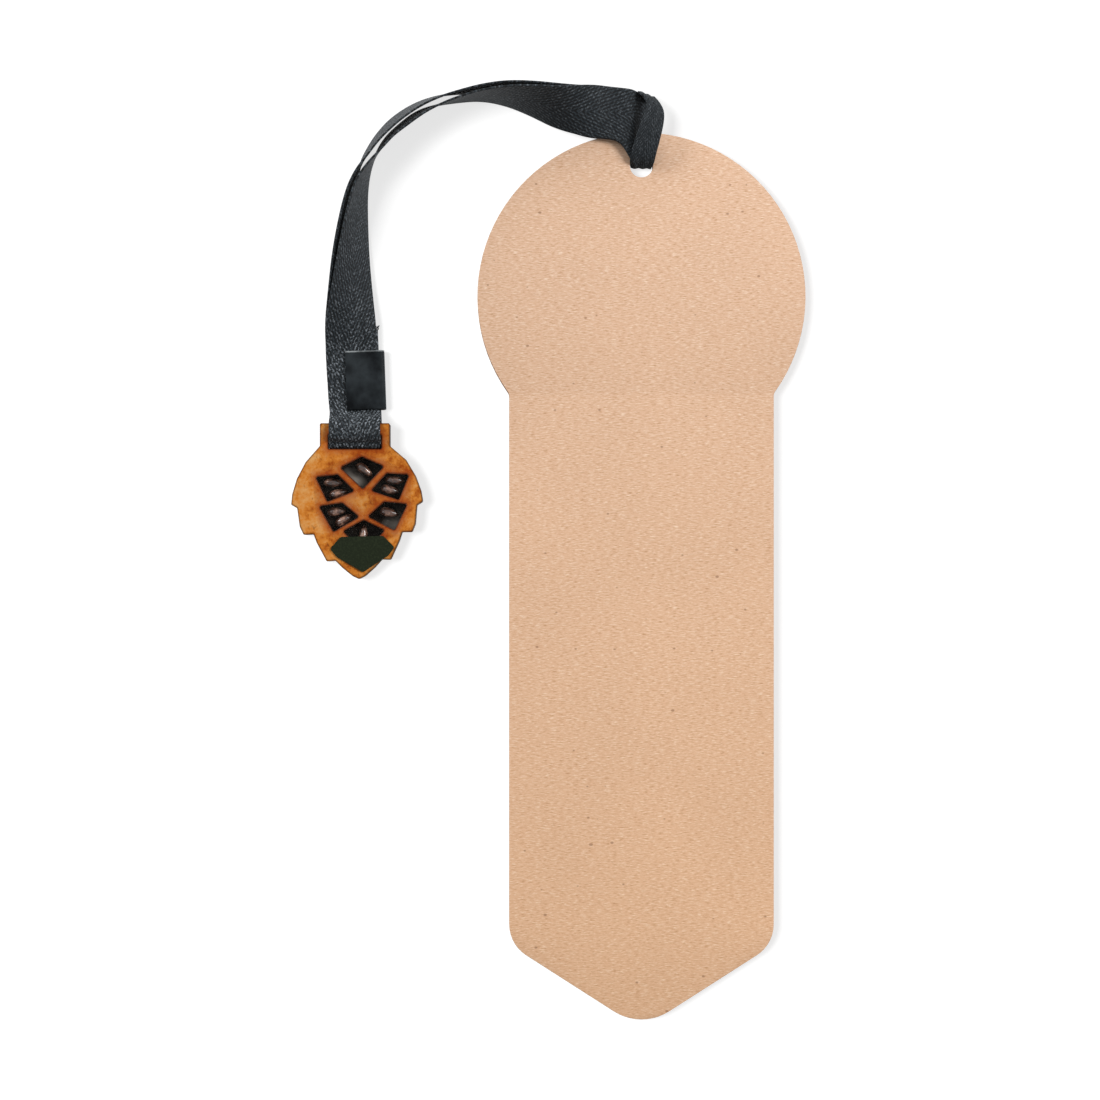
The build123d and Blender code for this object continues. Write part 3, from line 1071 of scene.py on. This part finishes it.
    def build_knot(self) -> None:
        """Lay the bight: up from the hole over the strands, over the top edge and down behind the card."""
        left = [
            (-2.0, 80.0, 0.5),
            (-2.4, 80.35, 2.5),
            (-2.15, 82.2, 3.7),
            (-1.45, 84.6, 4.4),
            (-0.65, 86.8, 4.85),
            (0.35, 89.2, 5.05),
            (0.95, 91.2, 4.9),
            (0.3, 93.0, 4.4),
            (-0.8, 94.2, 3.3),
            (-0.8, 94.4, 1.6),
            (0.1, 93.5, -0.1),
            (0.0, 91.5, -0.4),
            (-0.6, 88.5, -0.4),
            (-1.4, 84.0, -0.4),
            (-1.8, 81.2, -0.4),
            (-1.8, 80.3, 0.2),
            (-1.7, 80.5, 1.0),
        ]
        right = [
            (1.9, 79.9, 0.5),
            (2.3, 80.1, 2.5),
            (2.75, 82.0, 3.6),
            (3.45, 84.6, 4.2),
            (4.0, 87.0, 4.5),
            (4.25, 88.9, 4.4),
            (4.05, 90.4, 4.1),
            (3.2, 91.9, 3.6),
            (2.4, 93.1, 2.6),
            (2.6, 93.4, 1.2),
            (3.2, 92.8, -0.1),
            (3.4, 91.0, -0.4),
            (3.2, 88.3, -0.4),
            (2.4, 84.0, -0.4),
            (1.9, 81.2, -0.4),
            (1.8, 80.3, 0.2),
            (1.7, 80.5, 1.0),
        ]
        tape = Tape("knot_bight", left, right, columns=30, resolution=10, pleats=2.5, pleat_mm=0.09)
        piece = tape.build()
        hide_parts("knot_loop")
        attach(piece, Body.CARD.value)
        self.pieces["bight"] = piece

    def build_bar_loop(self) -> None:
        """Lay the loop from under the clip, round the charm's bar and back up behind to the tail."""
        _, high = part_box("ribbon_bar_loop")
        profile = [
            (-56.35, 41.0, 1.09),
            (-56.35, 38.0, 1.09),
            (-56.1, 34.0, 1.09),
            (-55.85, 31.9, 1.15),
            (-55.8, 30.65, 3.05),
            (-55.8, 29.6, 4.2),
            (-55.8, 28.2, 4.4),
            (-55.8, 26.9, 4.35),
            (-55.8, 26.25, 3.7),
            (-55.8, 26.2, 2.95),
            (-55.8, 25.6, 2.8),
            (-55.8, 24.95, 2.6),
            (-55.8, 24.85, 1.0),
            (-55.8, 24.95, -0.3),
            (-55.8, 25.9, -0.48),
            (-55.8, 27.8, -0.48),
            (-55.8, 30.3, -0.4),
            (-55.85, 32.0, -0.05),
            (-55.95, 34.5, 0.0),
            (-56.2, 40.0, 0.0),
            (-56.55, high.y / MM, 0.0),
        ]
        outer = [(x - self.width_mm / 2, y, z) for x, y, z in profile]
        inner = [(x + self.width_mm / 2, y, z) for x, y, z in profile]
        tape = Tape("ribbon_bar_turn", outer, inner, start_mm=99.4)
        piece = tape.build()
        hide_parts("ribbon_bar_loop")
        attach(piece, Body.RIBBON.value)
        self.pieces["bar_loop"] = piece

    def build_fray(self) -> None:
        """Make the loose threads at the tail's cut end, with strays at its right that lean out."""
        low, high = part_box("ribbon_bar_loop")
        dice = random.Random(7)
        curve = bpy.data.curves.new("tail_threads", "CURVE")
        curve.dimensions = "3D"
        curve.bevel_depth = self.thread_radius_mm * MM
        curve.bevel_resolution = 2
        curve.use_fill_caps = True
        for index in range(self.thread_count):
            stray = index >= self.thread_count - self.stray_count
            stretch, lean = (1.5, 0.2) if stray else (1.0, 0.0)
            share = (index + 0.5) / self.thread_count
            x = low.x + self.tail_shift_mm * MM + (high.x - low.x) * share
            reach = dice.uniform(0.25, 0.8) * stretch
            spline = curve.splines.new("NURBS")
            spline.points.add(3)
            for step, point in enumerate(spline.points):
                drift = (dice.uniform(-0.22, 0.22) + lean) * step * MM
                y = high.y + (step / 3 * reach - 0.3) * MM
                point.co = (x + drift, y, dice.uniform(-0.12, 0.12) * MM, 1.0)
            spline.order_u = 3
            spline.use_endpoint_u = True
            spline.resolution_u = 5
        piece = bpy.data.objects.new("tail_threads", curve)
        bpy.context.scene.collection.objects.link(piece)
        make_active(piece)
        bpy.ops.object.convert(target="MESH")
        piece = bpy.context.object
        merge_doubles(piece, 0.0001, outwards=True)
        dress(piece, LooseThread())
        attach(piece, Body.RIBBON.value)
        self.pieces["fray"] = piece


@dataclass
class Card:
    """The die-cut board, with its cut edges a little rounded."""

    edge_mm: float = 0.2
    finish: KraftBoard = field(default_factory=KraftBoard)

    def build(self) -> None:
        """Copy the board, soften its edges and dress it."""
        piece = copy_node("card", "card_board")
        round_edges(piece, self.edge_mm, 3, 60)
        smooth(piece, 40)
        dress(piece, self.finish)
        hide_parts("card")
        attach(piece, Body.CARD.value)


@dataclass
class Clip:
    """The folded strip that pinches the ribbon's layers."""

    edge_mm: float = 0.1
    finish: ClipPlastic = field(default_factory=ClipPlastic)

    def build(self) -> Piece:
        """Copy the clip, soften its cut edges and dress it.

        Returns:
            The clip, which goes where the ribbon goes.
        """
        piece = copy_node("ribbon_clip", "clip_strip")
        end = max(piece.data.polygons, key=lambda face: face.area * max(face.normal.y - 0.9, 0.0))
        finish = replace(self.finish, end_normal=tuple(end.normal), end_reach=end.normal.dot(end.center))
        round_edges(piece, self.edge_mm, 2, 60)
        smooth(piece, 40)
        dress(piece, finish)
        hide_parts("ribbon_clip")
        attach(piece, Body.RIBBON.value)
        return piece


@dataclass
class Charm:
    """The pine-cone charm: plate, films, seal and seeds."""

    plate_mm: float = 3.0
    cell_mm: float = 0.3
    skin_mm: float = 0.02
    sample_mm: float = 0.12
    seed_half_mm: float = 1.96
    seed_radius_mm: float = 0.93
    seed_taper: float = 0.30
    seed_bulge: float = 0.10
    seed_ridge: float = 0.05
    seed_flank: float = 0.92
    plate_finish: VarnishedPly = field(default_factory=VarnishedPly)
    film_finish: ClearFilm = field(default_factory=ClearFilm)
    seal_finish: SealPaper = field(default_factory=SealPaper)
    backing_finish: BackingSheet = field(default_factory=BackingSheet)
    seed_finish: SeedCoat = field(default_factory=SeedCoat)

    def build(self) -> None:
        """Build every piece of the charm."""
        self.build_plate()
        self.build_sheets()
        for node in sorted(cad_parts):
            if node.startswith("seed_"):
                self.build_seed(node)

    def build_plate(self) -> None:
        """Cut a finely divided board to the plate's outline and measure its points' way to the cuts."""
        cutter = copy_node("cone_plate", "plate_cutter")
        tops = [face for face in cutter.data.polygons if face.normal.z > 0.9]
        droop_normal = sum((face.normal * face.area for face in tops), Vector()).normalized()
        middle = sum((Vector(corner) for corner in cutter.bound_box), Vector()) / 8
        low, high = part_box("cone_plate")
        thickness = self.plate_mm * MM - 2 * self.skin_mm * MM
        deselect_all()
        span_x, span_y = high.x - low.x + 2 * MM, high.y - low.y + 2 * MM
        bpy.ops.mesh.primitive_grid_add(
            x_subdivisions=int(span_x / (self.cell_mm * MM)),
            y_subdivisions=int(span_y / (self.cell_mm * MM)),
            size=1.0,
        )
        plate = bpy.context.object
        plate.name = "charm_plate"
        plate.data.name = "charm_plate"
        tilt = math.atan2(-droop_normal.y, droop_normal.z)
        plate.scale = (span_x, span_y, 1.0)
        plate.rotation_euler = (tilt, 0.0, 0.0)
        plate.location = middle
        bpy.ops.object.transform_apply(location=True, rotation=True, scale=True)
        apply_modifier(plate, "SOLIDIFY", thickness=thickness, offset=0.0)
        apply_modifier(plate, "BOOLEAN", operation="INTERSECT", solver="EXACT", object=cutter)
        self.measure_cuts(plate, cutter)
        bpy.data.objects.remove(cutter)
        smooth(plate, 30)
        dress(plate, self.plate_finish)
        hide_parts("cone_plate")
        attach(plate, Body.CONE.value)

    def measure_cuts(self, plate: Piece, cutter: Piece) -> None:
        """Store each point's distance from the nearest cut, and from the nearest window or slot, in mm.

        Args:
            plate: The finished plate.
            cutter: The merged copy of the CAD plate, whose walls are the cuts.
        """
        walls = [face for face in cutter.data.polygons if abs(face.normal.z) < 0.5]
        joined: dict[int, set[int]] = {}
        for face in walls:
            group = set(face.vertices)
            for vertex in face.vertices:
                group |= joined.get(vertex, set())
            for vertex in group:
                joined[vertex] = group
        loops = {id(group): group for group in joined.values()}
        spans = {key: self.span(cutter, group) for key, group in loops.items()}
        outline = max(spans, key=spans.get)
        cuts = {"edge_mm": list(loops), "window_mm": [key for key in loops if key != outline]}
        for name, keys in cuts.items():
            samples: list[Vector] = []
            wanted = set().union(*(loops[key] for key in keys))
            for face in walls:
                if face.vertices[0] in wanted:
                    corners = [cutter.data.vertices[v].co for v in face.vertices]
                    for start, end in zip(corners, corners[1:] + corners[:1]):
                        count = max(2, int((end - start).length / (self.sample_mm * MM)))
                        samples += [start.lerp(end, step / count) for step in range(count)]
            tree = KDTree(len(samples))
            for index, sample in enumerate(samples):
                tree.insert((sample.x, sample.y, 0.0), index)
            tree.balance()
            values = [tree.find((v.co.x, v.co.y, 0.0))[2] / MM for v in plate.data.vertices]
            store = plate.data.attributes.new(name, "FLOAT", "POINT")
            store.data.foreach_set("value", values)

    def span(self, cutter: Piece, group: set[int]) -> float:
        """Give the length of a loop of vertices along Y.

        Args:
            cutter: The merged copy of the CAD plate.
            group: The loop's vertices.

        Returns:
            The length in metres.
        """
        heights = [cutter.data.vertices[v].co.y for v in group]
        return max(heights) - min(heights)

    def build_sheets(self) -> None:
        """Dress the clear film, the dark backing and the seal, which keep their CAD shape."""
        coat(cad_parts["front_film"], self.film_finish)
        coat(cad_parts["back_film"], self.backing_finish)
        coat(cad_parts["seal_label"], self.seal_finish)

    def build_seed(self, node: str) -> None:
        """Model one pine seed along its CAD solid's long axis, blunt at one end and pointed at the other.

        Args:
            node: The seed's CAD node.
        """
        source = np.array([vertex.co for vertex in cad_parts[node].data.vertices])
        low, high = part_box(node)
        middle = (np.array(low) + np.array(high)) / 2
        centred = source - source.mean(axis=0)
        axis = np.linalg.svd(centred, full_matrices=False)[2][0]
        reach = centred @ axis
        girth = np.linalg.norm(centred - reach[:, None] * axis, axis=1)
        if girth[reach < 0].max() < girth[reach > 0].max():
            axis = -axis
        deselect_all()
        bpy.ops.mesh.primitive_uv_sphere_add(segments=28, ring_count=18, radius=1.0)
        piece = bpy.context.object
        piece.name = node + "_grain"
        piece.data.name = piece.name
        dice = random.Random(node)
        squeeze = dice.uniform(0.84, 0.94)
        side = np.cross(axis, (0.0, 0.0, 1.0))
        side /= np.linalg.norm(side)
        top = np.cross(axis, side)
        for vertex in piece.data.vertices:
            x, y, z = vertex.co
            fat = self.seed_radius_mm * MM * (1 - self.seed_taper * z) * (1 - self.seed_bulge * z * z)
            ridge = 1 + self.seed_ridge * math.cos(2 * math.atan2(y, x))
            core = middle + axis * z * self.seed_half_mm * MM
            vertex.co = core + side * x * fat * ridge * self.seed_flank + top * y * fat * squeeze
        smooth(piece, 60)
        dress(piece, self.seed_finish)
        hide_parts(node)
        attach(piece, Body.CONE.value)


@dataclass(frozen=True)
class Lamp:
    """A square soft lamp: its place and side in metres, its power in watts and what it lights."""

    name: str
    place: Place
    size: float
    power: float
    lit: Lit


@dataclass
class Studio:
    """The pale table, the lamps and the camera straight above."""

    pixel_mm: float = 0.195
    image_px: int = 1100
    axis_px: tuple[float, float] = (500.0, 620.0)
    camera_height_mm: float = 360.0
    card_px: tuple[float, float] = (641.5, 576.0)
    card_top_mm: float = 2.0
    sensor_mm: float = 36.0
    aim: Place = (-0.02, 0.02, 0.0)
    table_size: float = 6.0
    table_gap_mm: float = 0.02
    table_tone: str = "#F0F0F0"
    table_seen_tone: str = "#A9A9A9"
    table_glow: float = 0.72
    sky_tone: str = "#FFFFFF"
    sky_light: float = 0.265
    # The key lights the object from the upper right. The table has a lamp of its own, from the left.
    lamps: tuple[Lamp, ...] = (
        Lamp("key", place=(1.12, 0.46, 0.95), size=0.62, power=19.3, lit=Lit.OBJECT),
        Lamp("fill", place=(-0.63, 0.60, 0.93), size=0.45, power=1.8, lit=Lit.OBJECT),
        Lamp("rim", place=(-0.82, 0.75, 0.30), size=0.42, power=9.0, lit=Lit.OBJECT),
        Lamp("table", place=(-0.80, 0.10, 1.15), size=0.6, power=18.3, lit=Lit.TABLE),
    )

    def build(self) -> None:
        """Set the view, floor, lamps, world and camera."""
        bpy.context.scene.view_settings.view_transform = "Standard"
        floor = self.build_floor()
        for lamp in self.lamps:
            self.build_lamp(lamp, floor)
        self.build_world()
        self.build_camera()

    def seen_rays(self, tree: Tree) -> Node:
        """Mark the rays that show the background: from the camera, off a gloss or through a clear sheet.

        Args:
            tree: The node tree of the floor or the world.

        Returns:
            A node whose first output is 1 for those rays and 0 for the light that falls on the object.
        """
        path = add_node(tree, "LightPath").outputs
        gloss, clear = path["Is Glossy Ray"], path["Is Transmission Ray"]
        mirrored = add_node(tree, "Math", {0: gloss, 1: clear}, operation="MAXIMUM")
        return add_node(tree, "Math", {0: path["Is Camera Ray"], 1: mirrored}, operation="MAXIMUM")

    def build_floor(self) -> Piece:
        """Lay a pale table top that keeps the shadow and shows white to the camera.

        Returns:
            The table top.
        """
        deselect_all()
        bpy.ops.mesh.primitive_grid_add(x_subdivisions=4, y_subdivisions=4, size=self.table_size)
        floor = bpy.context.object
        floor.name = "table_top"
        for vertex in floor.data.vertices:
            vertex.co.z = CAD_BOX[0].z - self.table_gap_mm * MM
        material = bpy.data.materials.new("white table top")
        material.use_nodes = True
        tree = material.node_tree
        tree.nodes.clear()
        seen = self.seen_rays(tree)
        lit_tone, seen_tone = linear(self.table_tone), linear(self.table_seen_tone)
        tone = add_node(tree, "Mix", {0: seen, 6: lit_tone, 7: seen_tone}, data_type="RGBA")
        strength = add_node(tree, "Math", {0: seen, 1: self.table_glow}, operation="MULTIPLY")
        matt = add_node(tree, "BsdfDiffuse", {"Color": tone})
        glow = add_node(tree, "Emission", {"Strength": strength})
        both = add_node(tree, "AddShader", {0: matt, 1: glow})
        add_node(tree, "OutputMaterial", {"Surface": both})
        floor.data.materials.append(material)
        return floor

    def build_lamp(self, lamp: Lamp, floor: Piece) -> None:
        """Add a lamp aimed at the bookmark, that lights the table top alone or all but the table top.

        Args:
            lamp: What it is and where.
            floor: The table top.
        """
        light = bpy.data.lights.new(lamp.name, "AREA")
        light.size = lamp.size
        light.energy = lamp.power
        carrier = bpy.data.objects.new(lamp.name, light)
        carrier.location = lamp.place
        heading = Vector(self.aim) - Vector(lamp.place)
        carrier.rotation_euler = heading.to_track_quat("-Z", "Y").to_euler()
        bpy.context.scene.collection.objects.link(carrier)
        receivers = bpy.data.collections.new(lamp.name + " receivers")
        receivers.objects.link(floor)
        receivers.collection_objects[0].light_linking.link_state = lamp.lit.value
        carrier.light_linking.receiver_collection = receivers

    def build_world(self) -> None:
        """Light everything softly from all round, and show white behind."""
        world = bpy.data.worlds.new("studio")
        bpy.context.scene.world = world
        world.use_nodes = True
        tree = world.node_tree
        tree.nodes.clear()
        seen = self.seen_rays(tree)
        strength = add_node(tree, "MapRange", {0: seen, "To Min": self.sky_light})
        sky = add_node(tree, "Background", {"Color": linear(self.sky_tone), "Strength": strength})
        add_node(tree, "OutputWorld", {"Surface": sky})

    def build_camera(self) -> None:
        """Hang the camera straight above the photo's principal point, its frame shifted to the card."""
        camera = bpy.data.cameras.new("camera")
        camera.sensor_width = self.sensor_mm
        camera.lens = self.sensor_mm * self.camera_height_mm / (self.image_px * self.pixel_mm)
        camera.shift_x = (self.image_px / 2 - self.axis_px[0]) / self.image_px
        camera.shift_y = (self.axis_px[1] - self.image_px / 2) / self.image_px
        camera.clip_start = 0.01
        carrier = bpy.data.objects.new("camera", camera)
        carrier.location = (
            (self.axis_px[0] - self.card_px[0]) * self.pixel_mm * MM,
            (self.card_px[1] - self.axis_px[1]) * self.pixel_mm * MM,
            (self.card_top_mm + self.camera_height_mm) * MM,
        )
        bpy.context.scene.collection.objects.link(carrier)
        bpy.context.scene.camera = carrier


def main() -> None:
    """Build the bookmark and its studio."""
    logging.basicConfig(level=logging.INFO, format="%(name)s: %(message)s")
    Studio().build()
    Card().build()
    clip = Clip().build()
    Ribbon(clip).build()
    Charm().build()


if __name__ == "__main__":
    main()
